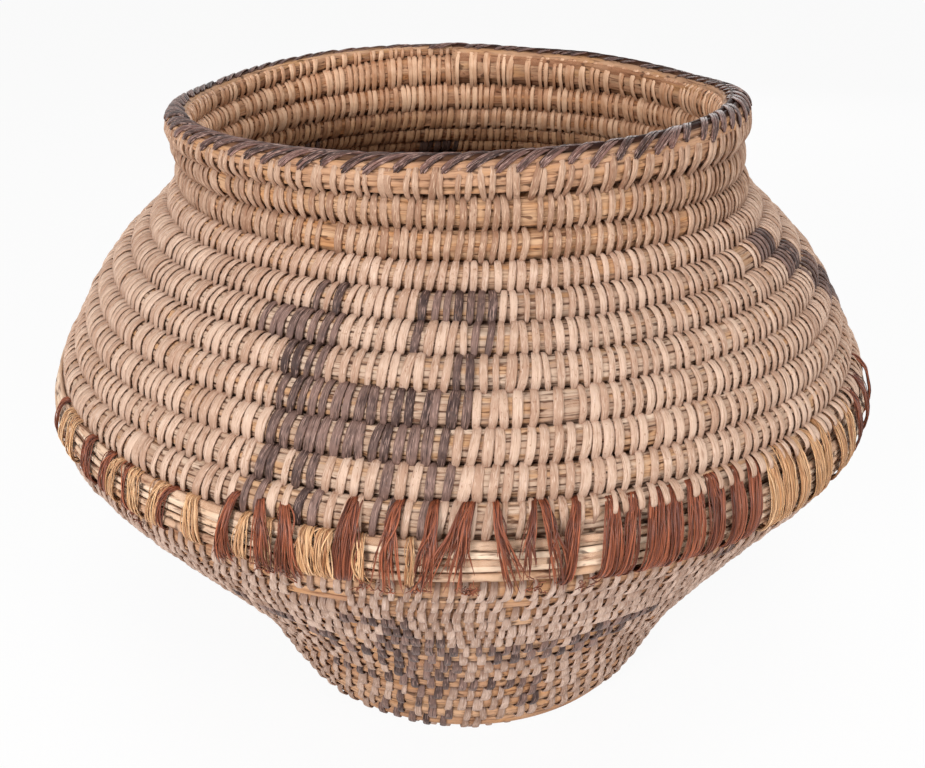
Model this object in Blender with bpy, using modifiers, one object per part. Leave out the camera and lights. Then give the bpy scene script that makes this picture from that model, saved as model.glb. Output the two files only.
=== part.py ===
"""Coiled storage basket: foundation coils, a repair round of stems, its raffia ties and the bound rim.

Metres, +Z up, origin at the middle of the face that the basket stands on. The front is towards -Y.
"""

import math

import bmesh
import bpy
from mathutils import Matrix, Vector
from mathutils.geometry import interpolate_bezier

# Overall outer sizes
basket_height = 0.273
rim_radius = 0.1165
neck_radius = 0.1155
neck_drop = 0.024
widest_radius = 0.175
widest_height = 0.157
foot_radius = 0.0955
foot_height = 0.023
standing_radius = 0.067

# Foundation coil
coil_diameter = 0.0108
coil_gap = 0.0007
flat_depth = 0.0005
end_gap = 0.003
start_angle = math.radians(180)
loop_points = 24
inner_loop_points = 12

# Base: the rounds of the rounded edge that it takes in, and where its spiral ends, as a share of the pitch
edge_loops = 1
base_end_share = 0.62

# Repair: a round of stems in place of the one lost under the widest place, in two layers
repair_rise = 0.0065
repair_width = 0.0142
stems_across = 4
stem_gap = 0.0006
inner_stem_place = 0.00025

# Rim round: thickness at its start and end, as shares of the pitch
rim_start_share = 0.8
rim_end_share = 1.4

# Dark overcast binding over the top of the rim
binding_thickness = 0.0009
binding_clearance = 0.0005
binding_inner_reach = math.radians(75)
binding_outer_reach = math.radians(95)
binding_arc_steps = 6

# Raffia ties round the repair
tie_thickness = 0.0009
tie_clearance = 0.0005
red_tie_width = 0.0062
tan_tie_width = 0.0056
back_tie_width = 0.005
tie_top_reach = math.radians(58)
tie_foot_reach = math.radians(70)
tie_arc_steps = 3

# Knot that the base starts from, beside the spiral's middle in the room that its last turn leaves
knot_clearance = 0.0006
knot_aside_share = 0.33
knot_back_angle = math.radians(230)
knot_bevel = 0.0008
knot_bevel_steps = 2
knot_sides = 24

section_steps = 24
cut_overrun = 0.002

# Outer face of the wall between its named places: share of the way up, then of the way out or in
lower_wall_shares = ((0.26, 0.21), (0.56, 0.55), (0.81, 0.84))
upper_wall_shares = ((0.3, 0.21), (0.55, 0.45), (0.72, 0.71), (0.86, 0.93))
foot_handle_share = 0.45

# Angles of the ties from the front towards +X, in degrees
red_tie_angles = (
    -62, -50, -26, -21.4, -18, -12, -7, -3.4, 0.2, 4.4, 8.2, 11.8,
    15.6, 18.1, 20.6, 23.1, 25.6, 28.1, 31.9, 34.4, 60, 65.5, 71.5,
)
tan_tie_angles = (-43.5, -39.5, -35.5, -30.5, -15, 37.2, 39.9, 42.6, 45.7, 48.6, 52, 55.8)
back_tie_angles = (92, 116, 141, 165, 194, 219, 243, 267)

colours = {
    "golden_foundation": (0.62, 0.42, 0.22, 1),
    "grey_foundation": (0.56, 0.42, 0.27, 1),
    "straw_stem": (0.66, 0.50, 0.32, 1),
    "dark_splint": (0.06, 0.04, 0.035, 1),
    "red_raffia": (0.32, 0.11, 0.06, 1),
    "tan_raffia": (0.55, 0.34, 0.14, 1),
}
roughness = 0.75

coil_radius = coil_diameter / 2
pitch = coil_diameter + coil_gap
turn = 2 * math.pi
tube_sides = 6
flat_share = math.cos(turn / tube_sides / 2)
facet_share = math.cos(turn / loop_points / 2)
coil_depth = flat_share * coil_radius
base_level = coil_depth - flat_depth
neck_height = basket_height - neck_drop
repair_height = widest_height + repair_rise
coarse_radius = standing_radius / 2
base_end_radius = base_end_share * pitch


def clearScene():
    for thing in list(bpy.data.objects):
        bpy.data.objects.remove(thing, do_unlink=True)


def newCollection(name):
    group = bpy.data.collections.new(name)
    bpy.context.scene.collection.children.link(group)
    return group


def materialFor(name):
    made = bpy.data.materials.get(name)
    if made is None:
        made = bpy.data.materials.new(name)
        made.use_nodes = True
        shader = made.node_tree.nodes["Principled BSDF"]
        shader.inputs["Base Color"].default_value = colours[name]
        shader.inputs["Roughness"].default_value = roughness
        made.diffuse_color = colours[name]
    return made


def smoothThrough(points, steps):
    """Points of a smooth curve that passes through all of the given ones."""
    padded = [2 * points[0] - points[1], *points, 2 * points[-1] - points[-2]]
    curve = []
    for before, start, end, after in zip(padded, padded[1:], padded[2:], padded[3:]):
        for step in range(steps):
            along = step / steps
            linear = 0.5 * (end - before)
            square = before - 2.5 * start + 2 * end - 0.5 * after
            cube = 1.5 * (start - end) + 0.5 * (after - before)
            curve.append(start + along * linear + along**2 * square + along**3 * cube)
    return curve + [points[-1]]


def placesBetween(low, high, shares):
    """(radius, height) places from a low one to a high one, highest first."""
    return [low + Vector((out * (high.x - low.x), up * (high.y - low.y))) for up, out in reversed(shares)]


def outerFace():
    """The basket's outer face as (radius, height), from the rim's top to the ring that it stands on."""
    widest = Vector((widest_radius, widest_height))
    neck = Vector((neck_radius, neck_height))
    foot = Vector((foot_radius, foot_height))
    top = Vector((rim_radius, basket_height))
    face = smoothThrough(
        [
            top,
            neck,
            *placesBetween(widest, neck, upper_wall_shares),
            widest,
            *placesBetween(foot, widest, lower_wall_shares),
            foot,
        ],
        section_steps,
    )
    standing = Vector((standing_radius, -flat_depth))
    reach = foot_handle_share * (standing - foot).length
    wall_handle = foot + reach * (face[-1] - face[-2]).normalized()
    flat_handle = standing + Vector((reach, 0))
    corner = interpolate_bezier(foot, wall_handle, flat_handle, standing, section_steps)
    return face + [Vector(point[:2]) for point in corner[1:]]


def coilPath():
    """Where the middle of a coil can lie, with the distance down to each point from the rim's top."""
    face = outerFace()
    path = []
    for before, point, after in zip([face[0], *face], face, [*face[1:], face[-1]]):
        along = after - before
        outward = Vector((-along.y, along.x)).normalized()
        path.append(point - coil_depth * outward)
    edge = path[-1].x
    path += [Vector((edge * (1 - step / section_steps), base_level)) for step in range(1, section_steps + 1)]
    distances = [0.0]
    for start, end in zip(path, path[1:]):
        distances.append(distances[-1] + (end - start).length)
    return path, distances, distances[len(face) - 1]


wall_path, wall_distances, standing_distance = coilPath()


def wallRun(distance):
    """(radius, height) at a distance down the coil path, and which way the path runs there."""
    index = 1
    while wall_distances[index] < distance and index < len(wall_path) - 2:
        index += 1
    start, end = wall_path[index - 1], wall_path[index]
    share = (distance - wall_distances[index - 1]) / (wall_distances[index] - wall_distances[index - 1])
    along = (1 - share) * (end - wall_path[max(index - 2, 0)]) + share * (wall_path[index + 1] - start)
    return start + share * (end - start), along.normalized()


def wallPoint(distance, out=0.0):
    """(radius, height) at a distance down the coil path, moved out from it towards the outer face."""
    point, along = wallRun(distance)
    return point + out * Vector((-along.y, along.x))


def wallLean(distance):
    """Tilt that turns a tube's edges to face the rounds on either side of it."""
    along = wallRun(distance)[1]
    return -(math.atan2(along.y, along.x) % turn)


def distanceAt(height):
    """How far down the coil path lies the first place at this height."""
    return next(along for along, point in zip(wall_distances, wall_path) if point.y <= height)


# Rounds, counted from the sizes above; each one sinks by a pitch as it goes once round
upper_loops = round((distanceAt(repair_height) - repair_width / 2) / pitch - rim_start_share)
upper_top = rim_start_share * pitch
repair_top = upper_top + upper_loops * pitch
lower_top = repair_top + repair_width
lower_loops = round((standing_distance - lower_top) / pitch) - edge_loops
base_top = lower_top + lower_loops * pitch
stem_pitch = repair_width / stems_across
stem_radius = (stem_pitch - stem_gap) / 2
stem_depth = flat_share * stem_radius
outer_stem_place = coil_depth - stem_depth


def placeAt(angle, section):
    return Vector((section.x * math.sin(angle), -section.x * math.cos(angle), section.y))


def drawnBack(points):
    """The same line with each end drawn back by half the end gap."""
    first = points[0] + end_gap / 2 * (points[1] - points[0]).normalized()
    last = points[-1] + end_gap / 2 * (points[-2] - points[-1]).normalized()
    return [first, *points[1:-1], last]


def spiral(top, loops, out=0.0):
    """Middle line of rounds that start a given distance down the path, and the lean at each point."""
    points, leans = [], []
    for index in range(round(loops * loop_points) + 1):
        turns = index / loop_points
        points.append(placeAt(start_angle + turn * turns, wallPoint(top + pitch * turns, out)))
        leans.append(wallLean(top + pitch * turns))
    return drawnBack(points), leans


def tube(name, material, points, leans, radius, group, thickness_shares=None):
    """An unbroken six-sided tube on straight runs, with closed ends."""
    data = bpy.data.curves.new(name, "CURVE")
    data.dimensions = "3D"
    data.twist_mode = "Z_UP"
    data.bevel_depth = radius
    data.bevel_resolution = 1
    data.use_fill_caps = True
    line = data.splines.new("POLY")
    line.points.add(len(points) - 1)
    line.use_smooth = True
    for index, point in enumerate(points):
        line.points[index].co = (*point, 1)
        line.points[index].tilt = leans[index] if leans else 0
        line.points[index].radius = thickness_shares[index] if thickness_shares else 1
    data.materials.append(materialFor(material))
    made = bpy.data.objects.new(name, data)
    group.objects.link(made)
    return made


def leastGap(points, diameter):
    """Least distance between a tube and its own other rounds, measured on its middle line's points."""
    least = math.inf
    for index, point in enumerate(points):
        for other in points[index + inner_loop_points // 2:index + 2 * loop_points]:
            near = (other - point).length - diameter
            least = min(least, near)
    return least


def reportGap(name, points):
    print(f"{name}: least gap to itself {1000 * leastGap(points, coil_diameter):.2f} mm")


def makeWallCoils(group):
    upper, leans = spiral(upper_top + pitch / 2, upper_loops)
    tube("upper_wall_coil", "golden_foundation", upper, leans, coil_radius, group)
    reportGap("upper_wall_coil", upper)
    lower, leans = spiral(lower_top + pitch / 2, lower_loops)
    tube("lower_wall_coil", "grey_foundation", lower, leans, coil_radius, group)
    reportGap("lower_wall_coil", lower)


def baseSpiral():
    """The wall's spiral carried on over the flat base, with fewer points on its small inner rounds."""
    points, leans = [], []
    index = 0
    while True:
        turns = index / loop_points
        down = base_top + pitch / 2 + pitch * turns
        section = wallPoint(down)
        if section.x < base_end_radius:
            return drawnBack(points), leans
        if section.x > coarse_radius or index % (loop_points // inner_loop_points) == 0:
            points.append(placeAt(start_angle + turn * turns, section))
            leans.append(wallLean(down))
        index += 1


def cutFlat(made, group, helpers):
    """Makes a tube a mesh with its caps welded, and cuts it level with the floor."""
    graph = bpy.context.evaluated_depsgraph_get()
    mesh = bpy.data.meshes.new_from_object(made.evaluated_get(graph))
    edit = bmesh.new()
    edit.from_mesh(mesh)
    bmesh.ops.remove_doubles(edit, verts=edit.verts, dist=coil_gap / 10)
    bmesh.ops.recalc_face_normals(edit, faces=edit.faces)
    edit.to_mesh(mesh)
    edit.free()
    name, matrix = made.name, made.matrix_world.copy()
    bpy.data.objects.remove(made, do_unlink=True)
    solid = bpy.data.objects.new(name, mesh)
    solid.matrix_world = matrix
    group.objects.link(solid)
    wide = 2 * (foot_radius + cut_overrun)
    bpy.ops.mesh.primitive_cube_add(size=1, location=(0, 0, -coil_radius))
    cutter = bpy.context.object
    cutter.name = "floor_cutter"
    cutter.scale = (wide, wide, coil_diameter)
    cutter.hide_render = True
    cutter.display_type = "WIRE"
    for holder in list(cutter.users_collection):
        holder.objects.unlink(cutter)
    helpers.objects.link(cutter)
    cut = solid.modifiers.new("floor", "BOOLEAN")
    cut.operation = "DIFFERENCE"
    cut.object = cutter
    return solid


def makeBase(group, helpers):
    points, leans = baseSpiral()
    reportGap("base_coil", points)
    cutFlat(tube("base_coil", "grey_foundation", points, leans, coil_radius, group), group, helpers)
    end_radius = points[-1].xy.length
    end_angle = math.atan2(points[-1].x, -points[-1].y)
    knot_radius = end_radius + pitch / 4 - coil_radius - knot_clearance
    bpy.ops.mesh.primitive_cylinder_add(vertices=knot_sides, radius=knot_radius, depth=2 * base_level)
    knot = bpy.context.object
    knot.name = "base_start_knot"
    knot.location = placeAt(end_angle - knot_back_angle, Vector((knot_aside_share * pitch, base_level)))
    knot.data.materials.append(materialFor("grey_foundation"))
    for holder in list(knot.users_collection):
        holder.objects.unlink(knot)
    group.objects.link(knot)
    round_edge = knot.modifiers.new("round", "BEVEL")
    round_edge.width = knot_bevel
    round_edge.segments = knot_bevel_steps
    knot.data.shade_smooth()
    knot.data.set_sharp_from_angle(angle=math.radians(40))


def makeRepairStems(group):
    for layer, place in (("outer", outer_stem_place), ("inner", inner_stem_place)):
        for index in range(stems_across):
            line, leans = spiral(repair_top + (index + 0.5) * stem_pitch, 1, place)
            tube(f"repair_stem_{layer}_{index + 1}", "straw_stem", line, leans, stem_radius, group)


def rimLine():
    """Middle line, lean and thickness of the rim round, which grows as the round below it sinks."""
    points, leans, shares = [], [], []
    for index in range(loop_points + 1):
        turns = index / loop_points
        top = (rim_start_share + 1 - rim_end_share) * pitch * turns
        bottom = upper_top + pitch * turns
        points.append(placeAt(start_angle + turn * turns, wallPoint((top + bottom) / 2)))
        leans.append(wallLean((top + bottom) / 2))
        shares.append((bottom - top - coil_gap) / coil_diameter)
    return drawnBack(points), leans, shares


def bindingSection(helpers):
    """Outline of the binding across the rim round: a band bent over its top."""
    inner = coil_radius + binding_clearance
    outer = inner + binding_thickness
    first, last = -binding_inner_reach, binding_outer_reach
    angles = [first + (last - first) * step / binding_arc_steps for step in range(binding_arc_steps + 1)]
    outline = [(outer, angle) for angle in angles] + [(inner, angle) for angle in reversed(angles)]
    data = bpy.data.curves.new("binding_section", "CURVE")
    data.dimensions = "2D"
    data.fill_mode = "NONE"
    line = data.splines.new("POLY")
    line.points.add(len(outline) - 1)
    line.use_cyclic_u = True
    for index, (radius, angle) in enumerate(outline):
        line.points[index].co = (radius * math.sin(angle), radius * math.cos(angle), 0, 1)
    section = bpy.data.objects.new("binding_section", data)
    section.hide_render = True
    section.display_type = "WIRE"
    helpers.objects.link(section)
    return section


def makeRim(group, helpers):
    points, leans, shares = rimLine()
    tube("rim_coil", "golden_foundation", points, leans, coil_radius, group, shares)
    binding = tube("rim_binding", "dark_splint", points, None, coil_radius, group, shares)
    binding.data.bevel_mode = "OBJECT"
    binding.data.bevel_object = bindingSection(helpers)


def arcAbout(middle, radius, first, last, steps):
    """Points about a (distance, out) middle, from one angle to another, where 0 faces straight out."""
    for step in range(steps + 1):
        angle = first + (last - first) * step / steps
        yield middle[0] + radius * math.sin(angle), middle[1] + radius * math.cos(angle)


def tieOutline(turns):
    """(distance, out) places of a tie's inner face: over the round above, down the stems and under them."""
    over_coil = coil_radius + tie_clearance
    over_stem = stem_radius + tie_clearance
    above = (repair_top + pitch * turns - pitch / 2, 0)
    lowest = (repair_top + pitch * turns + repair_width - stem_pitch / 2, outer_stem_place)
    places = list(arcAbout(above, over_coil, -tie_top_reach, 0, tie_arc_steps))
    for stem in range(stems_across - 1):
        places.append((repair_top + pitch * turns + (stem + 0.5) * stem_pitch, outer_stem_place + over_stem))
    places += arcAbout(lowest, over_stem, 0, tie_foot_reach, tie_arc_steps)
    return places


def makeTie(name, material, degrees, width, group):
    """A strap bent over the repair: its side view, swept sideways and thickened outwards."""
    angle = math.radians(degrees)
    turns = (angle - start_angle + turn) % turn / turn
    facet = turn / loop_points
    facing = (math.floor(angle / facet) + 0.5) * facet
    sections = [wallPoint(distance, out) for distance, out in tieOutline(turns)]
    aside = sections[len(sections) // 2].x * facet_share * math.tan(angle - facing)
    mesh = bpy.data.meshes.new(name)
    line = [(section.x * facet_share, 0, section.y) for section in sections]
    mesh.from_pydata(line, [(index, index + 1) for index in range(len(line) - 1)], [])
    mesh.materials.append(materialFor(material))
    tie = bpy.data.objects.new(name, mesh)
    group.objects.link(tie)
    sweep = tie.modifiers.new("width", "SCREW")
    sweep.axis = "Y"
    sweep.angle = 0
    sweep.screw_offset = width
    sweep.steps = 2
    sweep.render_steps = 2
    sweep.use_merge_vertices = False
    thick = tie.modifiers.new("thickness", "SOLIDIFY")
    thick.thickness = tie_thickness
    thick.offset = 1
    thick.use_even_offset = True
    tie.matrix_world = (
        Matrix.Rotation(facing - math.pi / 2, 4, "Z") @ Matrix.Translation((0, aside - width / 2, 0))
    )


def makeTies(group):
    kinds = (
        ("red_raffia_tie", "red_raffia", red_tie_angles, red_tie_width),
        ("tan_raffia_tie", "tan_raffia", tan_tie_angles, tan_tie_width),
        ("back_raffia_tie", "tan_raffia", back_tie_angles, back_tie_width),
    )
    for stem, material, angles, width in kinds:
        for index, degrees in enumerate(angles):
            makeTie(f"{stem}_{index + 1:02d}", material, degrees, width, group)


def main():
    clearScene()
    basket = newCollection("storage_basket")
    helpers = newCollection("helpers")
    makeWallCoils(basket)
    makeBase(basket, helpers)
    makeRepairStems(basket)
    makeRim(basket, helpers)
    makeTies(basket)
    print(f"rounds: rim 1, upper wall {upper_loops}, repair 1, lower wall {lower_loops}")


main()
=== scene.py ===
import math

import bpy
import numpy as np
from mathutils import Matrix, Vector


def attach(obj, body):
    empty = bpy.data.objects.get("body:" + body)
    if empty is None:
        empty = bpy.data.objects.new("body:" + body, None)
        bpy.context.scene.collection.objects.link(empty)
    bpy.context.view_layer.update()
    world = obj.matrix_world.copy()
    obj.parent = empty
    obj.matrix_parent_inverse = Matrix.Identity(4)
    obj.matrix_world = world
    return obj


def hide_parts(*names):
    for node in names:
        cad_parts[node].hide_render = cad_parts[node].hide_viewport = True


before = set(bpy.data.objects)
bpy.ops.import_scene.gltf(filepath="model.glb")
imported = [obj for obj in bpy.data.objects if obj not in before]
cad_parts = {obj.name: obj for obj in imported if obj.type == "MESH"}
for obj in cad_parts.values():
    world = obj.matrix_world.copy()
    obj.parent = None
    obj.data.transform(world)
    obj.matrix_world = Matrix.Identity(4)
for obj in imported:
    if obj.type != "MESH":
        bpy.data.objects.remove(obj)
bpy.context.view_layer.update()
chance = np.random.default_rng(11)

# Sizes are in millimetres and colours are sRGB, 0 to 255. Meshes turn into metres when they are made.
# Angles are degrees from the front, positive towards +X; "down" is the distance down the wall from
# the rim's top, "out" the distance out from the middle of the coils.
basket = {
    # radius and height of the wall's face at each place
    "top": (116.5, 273),
    "neck": (115.5, 249),
    "widest": (175, 157),
    "foot": (95.5, 23),
    "standing": (67, -0.5),
    "lowerShares": ((0.26, 0.21), (0.56, 0.55), (0.81, 0.84)),
    "upperShares": ((0.3, 0.21), (0.55, 0.45), (0.72, 0.71), (0.86, 0.93)),
    "footHandle": 0.45,
    "coilDepth": 4.6765,
    "pitch": 11.5,
    "rimStart": 0.8,
    "rimEnd": 1.4,
    "rimTail": 0.16,
    "upperRounds": 10,
    "repairWidth": 14.2,
    "lowerRounds": 15,
    "baseEnd": 7.4,
    "baseTail": 0.3,
    "thinned": 0.85,
    "rimGap": 0.5,
    "rimDepth": 10.8,
    "pathSteps": 24,
}
# The old basket has sagged a little: how far each height leans to the right, and how the mouth tilts
sag = {
    "heights": (0, 60, 110, 130, 150, 200, 245, 262),
    "leans": (2.5, 1.5, -2.2, -3.2, -1.2, 0, -0.5, -2.5),
    "slimHeights": (0, 25, 50, 90, 120, 140),
    "slims": (0, 0.8, 1.3, 1.3, 0.9, 0),
    "tiltFrom": 244,
    "tiltFull": 268,
    "tilt": 0.03,
    "lowest": 0.15,
    # how the mouth's edge rises from left to right, behind a place in front of the middle
    "backFrom": -20,
    "backFull": 40,
    "backPlaces": (-113, -84, -61, -30, 0, 39, 64, 87, 113),
    "backLifts": (-2.3, 0.5, 2.8, 4.2, 3.8, 0.8, 0, -2, -4.2),
}
# The rounds aren't evenly spaced: how far those at each distance down lie above an even spacing
spacing = {
    "downs": (0, 38, 61, 118, 130, 144, 156, 200, 215, 240, 262, 290, 310, 380),
    "lifts": (0, 0.8, 2.1, 3.3, 3.5, 4.5, 4.5, 7, 6.5, 3, 3, 6, 7, 0),
}


def unit(vectors):
    return vectors / (np.linalg.norm(vectors, axis=-1, keepdims=True) + 1e-9)


def stacked(*values):
    return np.stack(np.broadcast_arrays(*values), -1)


def eased(share):
    # 0 to 1, smooth at both ends
    share = np.clip(share, 0, 1)
    return share * share * (3 - 2 * share)


def runLength(line):
    # how far along its strand each place lies
    steps = np.linalg.norm(np.diff(line, axis=1), axis=2)
    return np.concatenate((np.zeros((len(line), 1)), np.cumsum(steps, 1)), 1)


def smoothPath(points, steps, closed=False):
    points = [np.array(point, float) for point in points]
    if closed:
        padded = [points[-1], *points, points[0], points[1]]
    else:
        padded = [2 * points[0] - points[1], *points, 2 * points[-1] - points[-2]]
    curve = []
    for before, start, end, after in zip(padded, padded[1:], padded[2:], padded[3:]):
        linear = 0.5 * (end - before)
        square = before - 2.5 * start + 2 * end - 0.5 * after
        cube = 1.5 * (start - end) + 0.5 * (after - before)
        for step in range(steps):
            along = step / steps
            curve.append(start + along * linear + along**2 * square + along**3 * cube)
    if not closed:
        curve.append(points[-1])
    return np.array(curve)


def bezier(points, steps):
    along = np.linspace(0, 1, steps)[:, None]
    weights = [math.comb(3, order) * (1 - along)**(3 - order) * along**order for order in range(4)]
    return sum(weight * point for weight, point in zip(weights, points))


def makeWallPath():
    # the face of the wall from the rim to the standing ring, then the middle of the coils behind it
    steps = basket["pathSteps"]
    places = ("top", "neck", "widest", "foot", "standing")
    top, neck, widest, foot, standing = [np.array(basket[place], float) for place in places]

    def between(low, high, shares):
        return [low + np.array((out, up)) * (high - low) for up, out in reversed(shares)]

    face = smoothPath(
        (
            top, neck, *between(widest, neck, basket["upperShares"]), widest,
            *between(foot, widest, basket["lowerShares"]), foot,
        ),
        steps,
    )
    reach = basket["footHandle"] * np.linalg.norm(standing - foot)
    handle = foot + reach * unit(face[-1] - face[-2])
    corner = bezier((foot, handle, standing + np.array((reach, 0)), standing), steps)
    face = np.vstack((face, corner[1:]))
    runs = unit(np.gradient(face, axis=0))
    path = face - basket["coilDepth"] * np.stack((-runs[:, 1], runs[:, 0]), 1)
    level = basket["coilDepth"] + standing[1]
    flat = [(path[-1, 0] * (1 - step / steps), level) for step in range(1, steps + 1)]
    path = np.vstack((2 * path[0] - path[6], path, flat))
    downs = runLength(path[None])[0]
    downs -= downs[1]
    return downs, (*path.T, *unit(np.gradient(path, downs, axis=0)).T)


wallDowns, wallRows = makeWallPath()


def wallAt(down):
    # radius and height of the coils' middle, and the way the wall runs there
    return [np.interp(down, wallDowns, row) for row in wallRows]


def sagged(x, y, z):
    # the middle of the base stays where it is
    outwards = np.clip(np.hypot(x, y) / basket["standing"][0], 0, 1)
    lean = np.interp(z, sag["heights"], sag["leans"]) * outwards
    backwards = np.clip((y - sag["backFrom"]) / (sag["backFull"] - sag["backFrom"]), 0, 1)
    lift = sag["tilt"] * x + np.interp(x, sag["backPlaces"], sag["backLifts"]) * backwards
    raised = z + lift * eased((z - sag["tiltFrom"]) / (sag["tiltFull"] - sag["tiltFrom"]))
    slim = 1 - np.interp(z, sag["slimHeights"], sag["slims"]) / basket["widest"][0]
    return np.stack((x * slim + lean, y * slim, np.maximum(raised, sag["lowest"])), -1)


def ontoWall(degrees, down, out):
    down = down - np.interp(down, spacing["downs"], spacing["lifts"])
    radius, height, runOut, runUp = wallAt(down)
    radius = radius - runUp * out
    angle = np.radians(degrees)
    return sagged(radius * np.sin(angle), -radius * np.cos(angle), height + runOut * out)


pitch = basket["pitch"]
upperTop = basket["rimStart"] * pitch
repairTop = upperTop + basket["upperRounds"] * pitch
lowerTop = repairTop + basket["repairWidth"]
# the rounds that the lower spiral takes to reach the knot
wallRounds = float(basket["lowerRounds"])
while wallAt(lowerTop + pitch * (wallRounds + 0.5))[0] > basket["baseEnd"]:
    wallRounds += 1 / 24


def upperMiddle(turns):
    return upperTop + pitch * (turns + 0.5)


def lowerMiddle(turns):
    return lowerTop + pitch * (turns + 0.5)


def baseThickness(turns):
    # the spiral ends in a thin tail beside the knot
    return 1 - basket["thinned"] * np.clip((turns - wallRounds) / basket["baseTail"], 0, 1)


def baseMiddle(turns):
    return lowerMiddle(turns) - (1 - baseThickness(turns)) * coil["base"]["reach"][0]


def rimTop(turns):
    # the rim's round starts as a thin tail that dips to meet its own thick end at the back
    growth = (1 + basket["rimStart"] - basket["rimEnd"]) * pitch
    return growth * (turns + 1 - eased(turns / basket["rimTail"]))


def rimMiddle(turns):
    return (upperTop + pitch * turns + rimTop(turns)) / 2


def rimThickness(turns):
    return (upperTop + pitch * turns - basket["rimGap"] - rimTop(turns)) / basket["rimDepth"]


def roundShare(degrees):
    # the share of its round at which the spiral passes an angle: rounds begin at the back
    return ((degrees - 180) % 360) / 360


def wander(count, rows, amount, waves=3, longest=1.0):
    # smooth random curves: one for each of count things, along rows steps
    along = np.linspace(0, 1, rows)[None, :]
    total = np.zeros((count, rows))
    for wave in range(1, waves + 1):
        size = chance.normal(0, 1, (count, 1)) / wave
        start = chance.uniform(0, 2 * math.pi, (count, 1))
        total += size * np.sin(2 * math.pi * wave * along / longest + start)
    return amount * total


def splintData(far, sizes, spots, valley, depth):
    # strand: place along and across the splint, and a seed; marks: its tone, how low it lies, inside
    across = splintSection[:, 0] * sizes[:, :, :1]
    strand = stacked(far[..., None], across, chance.uniform(0, 400, (len(spots), 1, 1)))
    tone = chance.uniform(0, 1, (len(spots), 1, 1))
    return strand, stacked(tone, valley, np.clip(-spots[..., 2] / depth, 0, 1))


def roundSection(sides):
    angle = np.linspace(0, 2 * math.pi, sides, endpoint=False)
    return np.stack((-np.cos(angle), np.sin(angle)), 1)


def addObject(name, data):
    made = bpy.data.objects.new(name, data)
    bpy.context.scene.collection.objects.link(made)
    return made


def makePiece(name, blocks, material, replaces=(), columns=None, strip=None):
    # a block is (points, strand, marks, closed): arrays of strands x rows x places round the section x 3;
    # each strand, or each strip of it, has its own cell in the layout for baking
    cells = 0
    for spots, _, _, closed in blocks:
        faces = spots.shape[1] - (not closed)
        cells += len(spots) * math.ceil(faces / (strip or faces))
    columns = columns or max(1, round(math.sqrt(cells / 1.6)))
    lines = math.ceil(cells / columns)

    def inCell(share, order, total):
        return (order + 0.04 + 0.92 * share) / total

    corners, uvs, ends, endUvs = [], [], [], []
    base = used = 0
    for spots, _, _, closed in blocks:
        count, rows, sides = spots.shape[:3]
        faces = rows - (not closed)
        each = strip or faces
        index = base + np.arange(count * rows * sides).reshape(count, rows, sides)
        here = index[:, :faces]
        after = np.roll(index, -1, 1)[:, :faces]
        corners.append(stacked(here, after, np.roll(after, -1, 2), np.roll(here, -1, 2)).reshape(-1, 4))
        number = np.arange(faces)
        cell = used + np.arange(count)[:, None] * math.ceil(faces / each) + number // each
        column = (cell % columns)[:, :, None]
        line = (cell // columns)[:, :, None]
        start = ((number % each) / each)[:, None]
        low = np.arange(sides) / sides
        left = inCell(low, column, columns)
        right = inCell(low + 1 / sides, column, columns)
        bottom = inCell(start, line, lines)
        top = inCell(start + 1 / each, line, lines)
        loops = (stacked(left, bottom), stacked(left, top), stacked(right, top), stacked(right, bottom))
        uvs.append(np.stack(loops, 3).reshape(-1, 2))
        if not closed:
            ends.append(np.stack((index[:, 0], index[:, -1, ::-1]), 1).reshape(-1, sides))
            cell = cell[:, (0, -1)]
            middle = stacked(inCell(0.5, cell % columns, columns), (cell // columns + (0.012, 0.988)) / lines)
            circle = roundSection(sides) * (-0.008, 0.008) / (columns, lines)
            endUvs.append((middle.reshape(-1, 1, 2) + circle).reshape(-1, 2))
        base += index.size
        used += count * math.ceil(faces / each)
    outlines = (*corners, *ends)
    sizes = np.concatenate([np.full(len(held), held.shape[1]) for held in outlines])
    loopCorners = np.concatenate([held.ravel() for held in outlines])
    points = np.vstack([block[0].reshape(-1, 3) for block in blocks]) / 1000
    mesh = bpy.data.meshes.new(name)
    mesh.vertices.add(len(points))
    mesh.vertices.foreach_set("co", points.astype(np.float32).ravel())
    mesh.loops.add(len(loopCorners))
    mesh.loops.foreach_set("vertex_index", loopCorners.astype(np.int32))
    mesh.polygons.add(len(sizes))
    mesh.polygons.foreach_set("loop_start", (np.cumsum(sizes) - sizes).astype(np.int32))
    mesh.update(calc_edges=True)
    for part, title in ((1, "strand"), (2, "marks")):
        layer = mesh.attributes.new(title, "FLOAT_VECTOR", "POINT")
        values = np.vstack([block[part].reshape(-1, 3) for block in blocks])
        layer.data.foreach_set("vector", values.astype(np.float32).ravel())
    layer = mesh.uv_layers.new(name="OFBake")
    layer.uv.foreach_set("vector", np.vstack((*uvs, *endUvs)).astype(np.float32).ravel())
    mesh.polygons.foreach_set("use_smooth", np.ones(len(sizes), dtype=bool))
    mesh.validate()
    mesh.update()
    mesh.materials.append(material)
    piece = addObject(name, mesh)
    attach(piece, "root")
    if replaces:
        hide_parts(*replaces)


def sweep(line, section, sizes, side=(1, 0, 0), closed=False):
    # line: strands x rows x 3 as (across, down, out); section: places x 2; sizes: strands x rows x 2
    run = unit(np.roll(line, -1, 1) - np.roll(line, 1, 1) if closed else np.gradient(line, axis=1))
    up = unit(np.cross(np.array(side, float), run))
    wide = section[:, :1] * sizes[:, :, None, :1]
    high = section[:, 1:] * sizes[:, :, None, 1:]
    return line[:, :, None] + np.cross(run, up)[:, :, None] * wide + up[:, :, None] * high


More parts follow.
